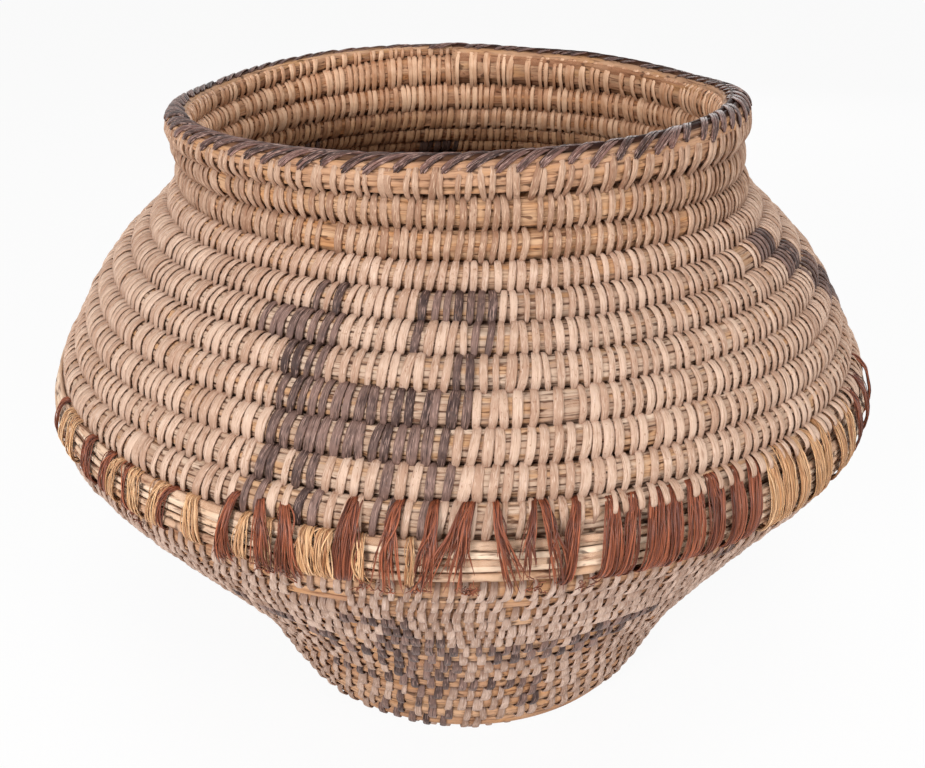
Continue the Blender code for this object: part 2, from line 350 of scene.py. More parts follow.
splintSection = np.array(
    ((-1, 0), (-0.88, 0.7), (-0.5, 1), (0.5, 1), (0.88, 0.7), (1, 0), (0.8, -0.35), (-0.8, -0.35)), float
)


def linear(colour):
    shares = np.array(colour) / 255
    parts = np.where(shares <= 0.04045, shares / 12.92, ((shares + 0.055) / 1.055)**2.4)
    return (*parts.tolist(), 1)


class Wire:
    def __init__(self, tree, socket=None):
        self.tree = tree
        self.socket = socket

    def node(self, kind, settings=None, values=None, out=0):
        made = self.tree.nodes.new(kind)
        for name, value in (settings or {}).items():
            setattr(made, name, value)
        for name, value in (values or {}).items():
            if isinstance(value, Wire):
                self.tree.links.new(value.socket, made.inputs[name])
            else:
                made.inputs[name].default_value = value
        return Wire(self.tree, made.outputs[out])

    def calc(self, operation, first, second=0.5):
        return self.node("ShaderNodeMath", {"operation": operation}, {0: first, 1: second})

    def __add__(self, other):
        return self.calc("ADD", self, other)

    def __radd__(self, other):
        return self.calc("ADD", other, self)

    def __sub__(self, other):
        return self.calc("SUBTRACT", self, other)

    def __rsub__(self, other):
        return self.calc("SUBTRACT", other, self)

    def __mul__(self, other):
        return self.calc("MULTIPLY", self, other)

    def __rmul__(self, other):
        return self.calc("MULTIPLY", other, self)

    def between(self, low, high):
        # 0 at low, 1 at high, smooth between
        return self.node(
            "ShaderNodeMapRange", {"interpolation_type": "SMOOTHSTEP"},
            {"Value": self, "From Min": low, "From Max": high},
        )

    def mix(self, share, first, second, blend="MIX"):
        return self.node(
            "ShaderNodeMix", {"data_type": "RGBA", "blend_type": blend},
            {0: share, 6: first, 7: second}, out=2,
        )

    def join(self, x, y, z):
        return self.node("ShaderNodeCombineXYZ", None, {0: x, 1: y, 2: z})

    def noise(self, x, y, z, detail=2.0, rough=0.5):
        return self.node(
            "ShaderNodeTexNoise", {"noise_dimensions": "3D"},
            {"Vector": self.join(x, y, z), "Scale": 1.0, "Detail": detail, "Roughness": rough},
        )

    def parts(self, name):
        held = self.node("ShaderNodeAttribute", {"attribute_name": name}, out=1)
        split = self.node("ShaderNodeSeparateXYZ", None, {0: held})
        outputs = split.socket.node.outputs
        return [Wire(self.tree, outputs[axis]) for axis in range(3)]


def newMaterial(name, look):
    made = bpy.data.materials.new(name)
    made.use_nodes = True
    shader = made.node_tree.nodes["Principled BSDF"]
    shader.inputs["Roughness"].default_value = look["roughness"]
    shader.inputs["Specular IOR Level"].default_value = look["specular"]
    return made, shader, Wire(made.node_tree)


def layered(wire, look, shade, layers):
    # from the dull to the pale colour, then each layer as (share, name of its colour, how it goes on)
    colour = wire.mix(shade.between(0.1, 0.9), linear(look["dull"]), linear(look["pale"]))
    for share, tint, blend in layers:
        colour = wire.mix(share, colour, linear(look[tint]), blend)
    return colour


def finishMaterial(wire, shader, colour, height, depth):
    wire.tree.links.new(colour.socket, shader.inputs["Base Color"])
    bump = wire.node("ShaderNodeBump", None, {"Strength": 0.8, "Distance": depth / 1000, "Height": height})
    wire.tree.links.new(bump.socket, shader.inputs["Normal"])


def splintMaterial(name, look):
    made, shader, wire = newMaterial(name, look)
    along, across, seed = wire.parts("strand")
    tone, valley, inside = wire.parts("marks")
    fibre = wire.noise(across * 1.9, along * 0.12, seed, 3.0, 0.65)
    blotch = wire.noise(across * 0.3, along * 0.3, seed)
    fine = wire.noise(across * 3.6, along * 0.3, seed + 7)
    speck = wire.noise(across * 1.1, along * 0.75, seed + 31, 1.0)
    shade = tone * 0.6 + blotch * 0.8 - 0.2
    colour = layered(wire, look, shade, (
        (fibre.between(0.5, 0.68) * look["streaks"], "streak", "MIX"),
        (fine.between(0.54, 0.68) * look["shine"], "bright", "MIX"),
        (speck.between(0.64, 0.76) * look["specks"], "speck", "MIX"),
    ))
    aging = wire.mix(shade.between(0.1, 0.9), linear(look["aging"]), linear(look["inner"]))
    colour = wire.mix(inside * look["aged"], colour, aging)
    # painted shade: stitch ends that dip into the valleys between rounds are darkened
    colour = wire.mix(valley * look["valleyShade"], colour, linear(look["grime"]), "MULTIPLY")
    rough = look["roughness"] + fibre * 0.1 - inside * look["gloss"]
    wire.tree.links.new(rough.socket, shader.inputs["Roughness"])
    finishMaterial(wire, shader, colour, fibre * 0.6 + fine * 0.4, look["relief"])
    return made


def foundationMaterial(name, look):
    made, shader, wire = newMaterial(name, look)
    along, around, seed = wire.parts("strand")
    groove, inside, valley = wire.parts("marks")
    stem = wire.node("ShaderNodeMath", {"operation": "FLOOR"}, {0: around})
    pick = wire.node(
        "ShaderNodeTexWhiteNoise", {"noise_dimensions": "2D"}, {"Vector": wire.join(stem, seed, 0.0)}
    )
    fibre = wire.noise(around * 4, along * 0.07, seed, 3.0, 0.65)
    patch = wire.noise(around * 0.4, along * 0.05, seed, 3.0)
    split = wire.noise(around * 1.6, along * 0.16, seed + 11, 1.0)
    golden = wire.noise(around * 0.7, along * 0.035, seed + 23)
    opened = wire.noise(around * 0.9, along * 0.1, seed + 5)
    neck = seed.between(9, 5)
    # the grooves' painted shade is patchy, and weaker inside and at the neck
    groove = groove * (opened.between(0.32, 0.62) * 0.85 + 0.15) * (1 - inside * 0.7)
    groove = groove * (1 - neck * look["neck"] * 0.5)
    colour = layered(wire, look, pick * 0.5 + patch * 0.7 - 0.1, (
        (golden.between(0.5, 0.66) * look["golds"], "gold", "MIX"),
        (neck * (1 - inside) * look["neck"], "neckTint", "MULTIPLY"),
        (fibre.between(0.5, 0.68) * look["streaks"], "streak", "MIX"),
        (split.between(0.62, 0.7) * look["splits"], "grime", "MIX"),
        (inside * look["aged"], "inner", "MULTIPLY"),
        # painted shade in the grooves between stems
        (groove.between(0.35, 1) * look["grooves"], "grime", "MULTIPLY"),
        # painted shade at the coil's top and bottom, where it meets the rounds above and below
        (valley * look["valleys"], "grime", "MULTIPLY"),
    ))
    finishMaterial(wire, shader, colour, fibre * 0.7 - split.between(0.6, 0.7) * 0.5, look["relief"])
    return made


plainSplint = {
    "roughness": 0.5, "specular": 0.25, "gloss": 0.0, "streaks": 0.6, "shine": 0.5, "specks": 0.5,
    "aged": 0.7, "valleyShade": 0.5, "relief": 0.7,
}
# each look also gives an amount and a colour of painted shade for the valleys between rounds
splints = {
    "light": {
        **plainSplint, "specular": 0.3, "gloss": 0.2, "shine": 0.55, "valleyShade": 0.55,
        "dull": (153, 115, 91), "pale": (191, 157, 133), "streak": (138, 90, 58), "bright": (232, 200, 172),
        "speck": (124, 74, 46), "inner": (255, 210, 172), "aging": (206, 149, 109), "grime": (118, 66, 42),
    },
    "greyed": {
        **plainSplint, "gloss": 0.15,
        "dull": (181, 145, 122), "pale": (212, 181, 159), "streak": (144, 102, 76), "bright": (230, 205, 186),
        "speck": (138, 88, 58), "inner": (226, 172, 122), "aging": (162, 108, 68), "grime": (122, 72, 48),
    },
    "worn": {
        **plainSplint, "roughness": 0.6, "specular": 0.2, "streaks": 0.55, "specks": 0.4, "aged": 0.6,
        "valleyShade": 1.0, "relief": 0.6,
        "dull": (154, 124, 107), "pale": (198, 170, 153), "streak": (132, 96, 76), "bright": (228, 206, 194),
        "speck": (130, 88, 64), "inner": (150, 106, 74), "aging": (100, 66, 44), "grime": (92, 54, 38),
    },
    "dark": {
        **plainSplint, "roughness": 0.42, "specular": 0.22, "streaks": 0.9, "shine": 0.7, "specks": 0.4,
        "aged": 0.4,
        "dull": (60, 43, 40), "pale": (134, 106, 96), "streak": (40, 22, 17), "bright": (180, 148, 136),
        "speck": (120, 84, 64), "inner": (70, 48, 38), "aging": (40, 26, 20), "grime": (120, 92, 78),
    },
    "rim": {
        **plainSplint, "roughness": 0.33, "streaks": 0.85, "shine": 0.65, "specks": 0.3, "aged": 0.3,
        "valleyShade": 0.4, "relief": 0.5,
        "dull": (48, 28, 23), "pale": (122, 88, 79), "streak": (26, 13, 10), "bright": (196, 162, 150),
        "speck": (110, 74, 56), "inner": (70, 46, 36), "aging": (36, 22, 16), "grime": (110, 86, 76),
    },
}
# each look of stems, straws and raffia gives a colour of painted shade, which also draws the splits, and how
# much of it goes into the grooves (on straws and raffia, each fibre's side towards the wall) and the valleys
plainStems = {
    "roughness": 0.6, "specular": 0.12, "golds": 0.6, "neck": 0.0, "neckTint": (255, 255, 255),
    "streaks": 0.75, "splits": 0.7, "aged": 0.3, "grooves": 0.9, "valleys": 0.0, "relief": 0.6,
}
foundations = {
    "golden": {
        **plainStems, "neck": 0.85, "neckTint": (250, 228, 200), "splits": 0.8, "aged": 0.6,
        "valleys": 0.55, "relief": 0.7, "dull": (166, 132, 109), "pale": (214, 188, 166),
        "gold": (196, 146, 98), "streak": (124, 82, 56), "inner": (226, 176, 122), "grime": (92, 56, 38),
    },
    "weathered": {
        **plainStems, "grooves": 0.5, "valleys": 1.0, "dull": (160, 112, 82), "pale": (208, 167, 133),
        "gold": (190, 138, 92), "streak": (102, 62, 41), "inner": (176, 136, 100), "grime": (58, 31, 20),
    },
}
foundations["rim"] = {
    **foundations["weathered"], "dull": (156, 108, 79), "pale": (206, 165, 132), "gold": (194, 144, 98),
    "grooves": 0.8, "aged": 0.0,
}
lightSplint, greyedSplint, wornSplint, darkSplint, rimSplint = [
    splintMaterial(f"{kind}_splint", look) for kind, look in splints.items()
]
goldenStems, weatheredStems, rimStems = [
    foundationMaterial(f"{kind}_stems", look) for kind, look in foundations.items()
]
coil = {
    "stepsPerRound": 200,
    "pointsPerStem": 4,
    # how fast a tapered end grows to the coil's full size, and how blunt it is
    "taper": 120,
    "blunt": 0.8,
    "mostUneven": 0.09,
    # how far past its first and last turn each runs
    "upper": {"stems": 14, "reach": (5.85, 4.8), "uneven": 0.06, "fullness": 1.7, "past": (0.02, -0.003)},
    "lower": {"stems": 7, "reach": (5.85, 4.4), "uneven": 0.05, "fullness": 2.1, "past": (-0.003, 0.001)},
    "base": {"stems": 7, "reach": (6.35, 4.4), "uneven": 0.05, "fullness": 2.1, "past": (-0.001, 0)},
    "rim": {"stems": 12, "reach": (5.95, 5.0), "uneven": 0.05, "fullness": 1.25, "past": (0.012, 0.004)},
}


def makeCoil(kind, middle, ends, material, node, thickness=None, atStart=False, atEnd=False):
    shape = coil[kind]
    first = ends[0] - shape["past"][0]
    last = ends[1] + shape["past"][1]
    rows = round((last - first) * coil["stepsPerRound"]) + 1
    turns = np.linspace(first, last, rows)
    # the outline of a ring of stems side by side, with a groove between each two
    stems = shape["stems"]
    half = math.pi / stems
    around = np.arange(stems * coil["pointsPerStem"]) / coil["pointsPerStem"]
    offset = (around % 1 * 2 - 1) * half
    stemRadius = math.sin(half) / (1 + math.sin(half)) * shape["fullness"]
    ringRadius = 1 - stemRadius
    deep = np.maximum(stemRadius**2 - (ringRadius * np.sin(offset))**2, 0)
    reach = ringRadius * np.cos(offset) + np.sqrt(deep)
    groove = np.clip((1 - reach) / (1 - reach.min()), 0, 1)
    swell = wander(stems, rows, shape["uneven"], 5, 0.9 / (last - first))
    swell = np.clip(swell, -coil["mostUneven"], coil["mostUneven"])
    swell = np.repeat(swell.T, coil["pointsPerStem"], axis=1)
    drift = wander(1, rows, 0.2, 4, 1.3 / (last - first))[0][:, None]
    angle = around * 2 * half + drift
    size = reach * (1 + swell * (1 - groove))
    if thickness:
        size = size * thickness(turns)[:, None]
    if atStart:
        size = size * np.minimum(1, (turns - first) * coil["taper"] + coil["blunt"])[:, None]
    if atEnd:
        size = size * np.minimum(1, (last - turns) * coil["taper"] + coil["blunt"])[:, None]
    down = middle(turns)[:, None] - shape["reach"][0] * size * np.cos(angle)
    out = shape["reach"][1] * size * np.sin(angle)
    spots = ontoWall((180 + 360 * turns)[:, None], down, out)[None]
    strand = stacked(runLength(spots[:, :, 0])[0][:, None], around + 0.001, np.floor(turns * 3)[:, None])
    # the coil's top and bottom, where it meets the next round, get painted shade
    level = np.clip((np.abs(np.cos(angle)) - 0.72) / 0.25, 0, 1)
    # marks: nearness to a groove between stems, for painted shade, the inner side, and nearness to the top or
    # bottom, also for painted shade
    marks = stacked(groove, np.clip(-out / 3, 0, 1), level)
    makePiece(
        f"{kind}_foundation", [(spots, strand[None], marks[None], False)], material, [node],
        1, coil["stepsPerRound"],
    )


def makeCoils():
    # each from one turn to another, tapered where it ends in the open
    upper, lower = basket["upperRounds"], basket["lowerRounds"]
    baseEnds = (lower, wallRounds + basket["baseTail"])
    makeCoil("upper", upperMiddle, (0, upper), goldenStems, "upper_wall_coil", atEnd=True)
    makeCoil("lower", lowerMiddle, (0, lower), weatheredStems, "lower_wall_coil", atStart=True)
    makeCoil("base", baseMiddle, baseEnds, weatheredStems, "base_coil", baseThickness, atEnd=True)
    makeCoil("rim", rimMiddle, (0, 1), rimStems, "rim_coil", rimThickness, atStart=True)
    print("coils made")


# outlines of a stitch round its coil as (down, out), from where it dips into the coil below
stitchBack = ((7.4, -0.6), (5.9, -3.0), (3.0, -4.5), (0, -4.95), (-3.2, -4.4), (-5.4, -2.4), (-6.0, 0.2))
stitchFront = ((3.1, 4.65), (5.5, 3.3), (7.3, 2.1))
stitch = {
    "outline": (*stitchBack, (-5.2, 3.0), (-2.8, 4.6), (0.2, 5.1), *stitchFront),
    # under the rim's binding a stitch keeps close to its coil
    "rimOutline": (
        *stitchBack[:3], (0, -4.8), (-2.8, -4.0), (-4.4, -2.2), (-4.9, 0.2), (-4.4, 2.4), (-2.6, 4.0),
        (0.4, 5.0), *stitchFront,
    ),
    # stitches that lie over the tops of the raffia wraps
    "overOutline": (
        *stitchBack, (-5.4, 3.2), (-3.8, 4.9), (-2.0, 5.8), (-0.4, 6.1), (0.9, 5.8), (1.6, 4.9),
    ),
    "topPoint": 6,  # the place in an outline that lies over the coil's top
    "overWraps": (13.5, 60),
    # width along the same places, as shares
    "widths": (0.4, 0.8, 1.02, 1.1, 1.08, 0.9, 0.6, 0.86, 1, 1, 0.98, 0.88, 0.54),
    # how much painted shade each place gets, most where the stitch dips into a valley between rounds
    "valleys": (1, 0.7, 0.15, 0, 0.1, 0.4, 0.6, 0.3, 0, 0, 0.1, 0.5, 1),
    # stitches to a round, from the row under the rim down
    "upperCounts": (200, 200, 208, 224, 225, 224, 240, 230, 218, 217),
    "lowerCounts": (240, 265, 265, 265, 255, 210, 180, 122, 122, 122, 106, 95, 95, 82, 74),
    "baseSpacing": 7.4,
    "staggered": 7,  # the lower round from which on the stitches stand between those below
    "evening": 24,
    "unevenness": 0.07,
    "bowed": 0.22,
    "inAndOut": 0.12,
    "rimCount": 182,
    "neckRounds": 2,
    "bareMargins": (0.75, 0.9),  # of the upper and the lower wall, in degrees
    "baseWider": 1.4,
    "baseShorter": 0.93,
    "beforeKnot": 0.06,
    "looseRow": {"spread": 0.22, "slantSpread": 5},  # the row above the repair
    "overWider": 0.84,
    "overThick": 0.48,
    "mostPoints": 12400,  # around which a group of stitches is split into the next piece
}
# dark stitches of each upper row as (from, to) angles, first the row under the rim
darkUpper = (
    (), (), (),
    ((-22.6, -20.8), (-19.8, -17.9), (-6.4, 5.4), (56, 65)),
    ((-28.8, -17), (-7.8, -4.5), (0.2, 3.8), (61, 70)),
    ((-23.5, -17), (-1.2, 2.2), (66, 76)),
    ((-23.1, 1.1), (70, 80)),
    ((-23.1, -1.3), (76, 90)),
    ((-24, -20.8), (-18.8, -15.4), (-9.5, -6.7), (-4.7, -1.3), (82, 95)),
    ((-24, -20.8), (-18.8, -15.6), (-10.4, -6.8), (-4.2, -2.6), (88, 100)),
)
darkLower = (
    ((29, 33),), (), (),
    ((-15.2, -5.6),),
    ((-10.6, -5.6), (-34.7, -32)),
    ((-11.8, -9.6), (-8.8, -2.2), (-33, -26), (20, 33)),
    ((-15.4, -1.4), (2.6, 16.6), (-27, -21), (17, 27)),
    ((-21, -1.8), (4.6, 25.5), (-24, -18)),
    ((-18.2, -1.6),),
    ((-15.5, -1.6),),
    ((-34, 2), (4, 17.5)),
    ((-15, -6), (12, 17.5)),
    ((-20.5, -6), (-4.5, -2), (12.5, 20.5)),
    ((-24, -17.5), (-13, -3.4)),
    ((-29, -2.6),),
)
bareUpper = (
    ((9.8, 13.4), (-45.5, -43), (31, 33.4)),
    ((-24.5, -21.5), (10.3, 13.7), (39.3, 43)),
    (), ((24.5, 27), (48.6, 54)), ((24.5, 26.3),), (),
    ((8.6, 10.5), (11.5, 14.2)), (), (), (),
)
bareLower = (
    ((-60, -57), (38, 41)), ((-20, -12), (5, 8), (44, 47)), (), ((6, 11), (-47, -45)),
    (), (), (), (), (), (), (), (), (), (), ((1.5, 78),),
)
# the same figures come again on the sides that the front doesn't show, with a smaller one at the back
figureTurns = (128, 240)
backFigure = {
    4: ((179, 181), (-180, -169)), 5: ((-179, -172),), 6: ((176, 181), (-180, -164)), 7: ((-180, -166),),
}


def isIn(degrees, ranges, repeats=(), margin=0.0):
    degrees = (np.asarray(degrees) + 180) % 360 - 180
    inside = np.zeros(degrees.shape, bool)
    for low, high in ranges:
        inside |= (degrees >= low + margin) & (degrees <= high - margin)
        for shift in repeats:
            if -36 < low < 36:
                moved = (degrees - shift + 180) % 360 - 180
                inside |= (moved >= low) & (moved <= high)
    return inside


def rowAbove(below, wanted, between):
    # stitches of the round above, set between the stitches below or straight over them
    gap = (np.roll(below, -1) - below) % 360
    if between:
        start, room = below, gap
    else:
        start = below - np.roll(gap, 1) / 2
        room = (gap + np.roll(gap, 1)) / 2
    places = []
    owed = 0.5
    for low, width in zip(start, room):
        owed += width * wanted / 360
        count = int(owed)
        owed -= count
        places += [low + width * (index + 0.5) / count for index in range(count)]
    places = np.array(places)
    for _ in range(stitch["evening"]):
        before = np.roll(places, 1)
        before[0] -= 360
        after = np.roll(places, -1)
        after[-1] += 360
        places = 0.5 * places + 0.25 * (before + after)
    space = 360 / wanted
    return np.sort((places + chance.normal(0, stitch["unevenness"] * space, len(places))) % 360)


def placeRounds():
    # the angles of the stitches' feet in each round of the lower and the upper wall, made from the base up
    lower = {}
    for turn in range(math.ceil(wallRounds) - 1, -1, -1):
        if turn >= basket["lowerRounds"]:
            radius = wallAt(lowerMiddle(turn + 0.5))[0]
            wanted = max(8, round(2 * math.pi * radius / stitch["baseSpacing"]))
            row = np.linspace(0, 360, wanted, endpoint=False) + chance.normal(0, 20 / wanted, wanted)
            row = np.sort(row % 360)
        else:
            row = rowAbove(row, stitch["lowerCounts"][turn], turn >= stitch["staggered"])
        lower[turn] = row
    upper = {}
    row = np.linspace(0, 360, stitch["upperCounts"][-1], endpoint=False)
    for turn in range(basket["upperRounds"] - 1, -1, -1):
        row = rowAbove(row, stitch["upperCounts"][turn], True)
        upper[turn] = row
    return upper, lower


def stitchBlock(feet, turn, middle, look, size=None, form="outline"):
    # feet: angles of the stitches' lower ends; the spiral is at turn + share of a round there
    turns = turn + roundShare(feet)
    down = middle(turns)
    radius = np.maximum(wallAt(down)[0], 4)
    count = len(feet)
    outline = smoothPath(stitch[form], look["steps"], True)
    shares = smoothPath(stitch["widths"], look["steps"], True)
    valley = smoothPath(stitch["valleys"], look["steps"], True)
    grow = size(turns)[:, None] if size else 1
    slant = np.tan(np.radians(look["slant"] + chance.normal(0, look["slantSpread"], (count, 1))))
    bow = chance.normal(0, stitch["bowed"], (count, 1))
    downs = outline[None, :, 0] * grow * look["tall"] + look["drop"]
    outs = outline[None, :, 1] * grow * look["deep"]
    outs = outs + chance.normal(0, stitch["inAndOut"], (count, 1)) * (outs > 0)
    top = stitch["topPoint"] * look["steps"]
    aside = slant * (look["foot"] - downs) + bow * (1 - (downs / 6)**2)
    aside[:, :top] += 2 * slant * (downs[:, :top] - downs[:, top:top + 1])
    line = stacked(aside, downs, outs)
    wide = look["width"] / 2 * np.clip(chance.normal(1, look["spread"], (count, 1)), 0.65, 1.4)
    right = np.clip((feet + 180) % 360 - 180, 0, 120)[:, None]
    wide = wide * (1 - look["narrowing"] * np.sin(np.radians(right * 1.5)))
    thick = look["thick"] * np.clip(chance.normal(1, 0.1, (count, 1)), 0.7, 1.3)
    sizes = stacked(wide * shares, thick * (0.75 + 0.25 * shares))
    spots = sweep(line, splintSection, sizes, closed=True)
    degrees = feet[:, None, None] + np.degrees(spots[..., 0] / radius[:, None, None])
    placed = ontoWall(degrees, down[:, None, None] + spots[..., 1], spots[..., 2])
    far = runLength(line)
    far = np.minimum(far, far[:, -1:] - far + 2)
    return placed, *splintData(far, sizes, spots, valley[:, None], 3), True


plainStitch = {
    "tall": 1.0, "deep": 1.0, "drop": 0.0, "foot": 6.5, "steps": 2, "spread": 0.12, "narrowing": 0.0,
}
stitchLooks = {
    "upper": {
        **plainStitch, "width": 2.4, "thick": 0.55, "slant": 6.5, "slantSpread": 2.4, "narrowing": 0.16,
    },
    "lower": {
        **plainStitch, "width": 2.05, "thick": 0.6, "slant": 3.5, "slantSpread": 2.5, "tall": 0.96,
        "steps": 1,
    },
    "rim": {
        **plainStitch, "width": 2.1, "thick": 0.6, "slant": 5, "slantSpread": 4, "spread": 0.14,
        "tall": 0.95, "deep": 1.04, "drop": 0.5,
    },
}
# how wide the stitches of each round are, next to the look's width, and how the lower ones slant
upperWidths = (0.96, 1.0, 1.02, 1.06, 1.1, 1.13, 1.2, 1.32, 1.3, 1.22)
lowerWidths = (1.1, 1.2, 1.25, 1.3, 1.35, 1.5, 1.3, 1.55, 1.6, 1.6, 1.55, 1.5, 1.5, 1.5, 1.4)
lowerSlants = (*(3.5,) * 5, 6, *(6.5,) * 9)


def makeStitches():
    upper, lower = placeRounds()
    groups = {}

    def add(kind, feet, turn, middle, look, form="outline"):
        if len(feet):
            groups.setdefault(kind, []).append(stitchBlock(feet, turn, middle, look, form=form))

    for turn, feet in sorted(upper.items()):
        look = dict(stitchLooks["upper"])
        look["width"] *= upperWidths[turn]
        feet = feet[~isIn(feet, bareUpper[turn], (), stitch["bareMargins"][0])]
        dark = isIn(feet, darkUpper[turn], figureTurns) | isIn(feet, backFigure.get(turn, ()))
        kind = "neck" if turn < stitch["neckRounds"] else "upper"
        if turn == basket["upperRounds"] - 1:
            look.update(stitch["looseRow"])
            over = ~dark & isIn(feet, (stitch["overWraps"],))
            narrow = dict(look, width=look["width"] * stitch["overWider"], thick=stitch["overThick"])
            add(kind, feet[over], turn, upperMiddle, narrow, "overOutline")
            feet, dark = feet[~over], dark[~over]
        add(kind, feet[~dark], turn, upperMiddle, look)
        add("upper_dark", feet[dark], turn, upperMiddle, look)
    for turn, feet in sorted(lower.items()):
        look = dict(stitchLooks["lower"])
        if turn < basket["lowerRounds"]:
            look["width"] *= lowerWidths[turn]
            look["slant"] = lowerSlants[turn]
            feet = feet[~isIn(feet, bareLower[turn], (), stitch["bareMargins"][1])]
            dark = isIn(feet, darkLower[turn], figureTurns)
            add("lower", feet[~dark], turn, lowerMiddle, look)
            add("lower_dark", feet[dark], turn, lowerMiddle, look)
        else:
            look["width"] *= stitch["baseWider"]
            look["tall"] = stitch["baseShorter"]
            feet = feet[turn + roundShare(feet) < wallRounds - stitch["beforeKnot"]]
            add("base", feet, turn, lowerMiddle, look)
    finishes = {
        "neck": (lightSplint, "golden_foundation"), "upper": (greyedSplint, "golden_foundation"),
        "lower": (wornSplint, "grey_foundation"), "base": (wornSplint, "grey_foundation"),
        "upper_dark": (darkSplint, "dark_splint"), "lower_dark": (darkSplint, "dark_splint"),
    }
    for kind, blocks in groups.items():
        material, slot = finishes[kind]
        batches = []
        points = 0
        for block in blocks:
            added = block[0].shape[0] * block[0].shape[1]
            if not batches or points + added > stitch["mostPoints"]:
                batches.append([])
                points = 0
            batches[-1].append(block)
            points += added
        for number, batch in enumerate(batches, 1):
            makePiece(f"{kind}_stitches_{number}", batch, material)
    print("stitches made")


# The rim has pairs of light stitches under a dark overcast binding
rim = {
    "strokes": 92,
    "ribs": 3,
    "ribWidth": 0.95,
    "ribThick": 0.55,
    "ribOverlap": 0.86,
    "ribShorter": 0.05,
    "arch": 0.45,
    "curve": 1.35,
    "begin": 0.2,  # as a share of how far a stroke advances
    "pairing": 0.3,
    "rows": 21,
    "advance": 19,
    "from": 68,
    "to": -34,
    "reach": (5.75, 5.45),
}


def makeRim():
    count = stitch["rimCount"]
    feet = np.linspace(0, 360, count, endpoint=False)
    feet = feet + np.where(np.arange(count) % 2, -rim["pairing"], rim["pairing"])
    feet = feet + chance.normal(0, 0.16, count)
    block = stitchBlock(feet % 360, 0, rimMiddle, stitchLooks["rim"], rimThickness, "rimOutline")
    makePiece("rim_stitches", [block], lightSplint)
    strokes = rim["strokes"]
    along = np.linspace(0, 1, rim["rows"])
    blocks = []
    starts = np.linspace(0, 360, strokes, endpoint=False) + chance.normal(0, 0.45, strokes)
    share = roundShare(starts)
    size = rimThickness(share)[:, None]
    middle = rimMiddle(share)[:, None]
    length = rim["advance"] * np.clip(chance.normal(1, 0.12, (strokes, 1)), 0.7, 1.3)
    begin = np.radians(rim["from"] + chance.normal(0, 5, (strokes, 1)))
    for rib in range(rim["ribs"]):
        # the ribs of a stroke lie side by side, square to its path over the rim, the outer ones shorter
        inset = 0.0 if rib == 1 else rim["ribShorter"]
        spread = inset + (1 - 2 * inset) * along
        turnBy = begin + (math.radians(rim["to"]) - begin) * spread
        across = length * spread**rim["curve"] - rim["begin"] * rim["advance"]
        run = unit(np.gradient(stacked(across, -turnBy * rim["reach"][0]), axis=1))
        aside = (rib - 1) * rim["ribWidth"] * rim["ribOverlap"] + chance.normal(0, 0.08, (strokes, 1))
        turned = turnBy - aside * run[..., 0] / rim["reach"][0]
        lift = 0.1 * rib + rim["arch"] * np.sin(along * math.pi)
        down = middle - (rim["reach"][0] * size + lift) * np.cos(turned)
        out = (rim["reach"][1] * size + lift) * np.sin(turned)
        ends = np.sqrt(np.clip(14 * np.minimum(along + 0.012, 1.012 - along), 0, 1))[:, None]
        sizes = np.ones((strokes, 1, 1)) * ends * (rim["ribWidth"] / 2, rim["ribThick"])
        spots = sweep(stacked(across - aside * run[..., 1], down, out), splintSection, sizes)
        degrees = starts[:, None, None] + np.degrees(spots[..., 0] / basket["top"][0])
        placed = ontoWall(degrees, spots[..., 1], spots[..., 2])
        blocks.append((placed, *splintData(along * 22, sizes, spots, 0.0, 4), False))
    makePiece("rim_overcast", blocks, rimSplint, replaces=["rim_binding"])
    print("rim made")


knot = {
    "rows": 48,
    "stems": 12,
    "towardsMiddle": 0.76,
    "ring": 0.77,
    "thick": 0.83,
    "grooved": 0.92,
    "offFloor": 0.2,
}
repair = {
    # layers of straws: how many lie side by side, how far out, half width, half height and spread
    "layers": (
        (5, 3.85, 1.3, 0.85, 5.8), (6, 2.3, 1.15, 0.9, 6.3), (7, 0.2, 1.15, 0.9, 7.7),
        (6, -1.6, 1.1, 0.8, 7.0),
    ),
    "standsFor": ("outer", None, "inner", None),
    "rise": 0.3,
    "pieces": 4,
    "overlap": (2, 7),
    "seam": 2.5,  # how far the straws run past the back, where the round meets its own start
    "shortest": 8,
    "degreesPerStep": 2.0,
}
straws = {
    **plainStems, "roughness": 0.55, "specular": 0.18, "golds": 0.3, "streaks": 0.9, "splits": 0.75,
    "aged": 0.4, "grooves": 1.0, "relief": 0.9, "dull": (180, 136, 106), "pale": (240, 214, 188),
    "gold": (196, 142, 92), "streak": (104, 58, 35), "inner": (190, 150, 110), "grime": (58, 28, 17),
}
raffia = {
    "red": {
        **plainStems, "roughness": 0.34, "specular": 0.28, "golds": 0.5, "streaks": 0.7, "splits": 0.0,
        "relief": 0.4, "dull": (64, 25, 14), "pale": (176, 100, 68), "gold": (112, 64, 54),
        "streak": (46, 18, 10), "inner": (150, 110, 90), "grime": (58, 22, 12),
    },
    "tan": {
        **plainStems, "roughness": 0.34, "specular": 0.28, "streaks": 0.8, "splits": 0.0,
        "relief": 0.4, "dull": (160, 102, 64), "pale": (244, 202, 156), "gold": (212, 158, 104),
        "streak": (92, 50, 28), "inner": (170, 130, 90), "grime": (78, 38, 20),
    },
}
strawStems = foundationMaterial("pale_straw", straws)
redRaffia = foundationMaterial("red_raffia", raffia["red"])
tanRaffia = foundationMaterial("tan_raffia", raffia["tan"])


def repairMiddle(turns):
    return repairTop + pitch * turns + basket["repairWidth"] / 2


def strandMarks(line, sides):
    seed = np.floor(chance.uniform(0, 400, (len(line), 1, 1)))
    around = np.arange(sides) / sides
    strand = stacked(runLength(line)[:, :, None], around * 0.9 + 0.02 + seed, seed)
    # the side of each fibre that faces the wall gets painted shade
    low = 0.5 - 0.5 * np.sin(2 * math.pi * around)
    return strand, stacked(low**2, np.zeros((*line.shape[:2], 1)), 0.0)


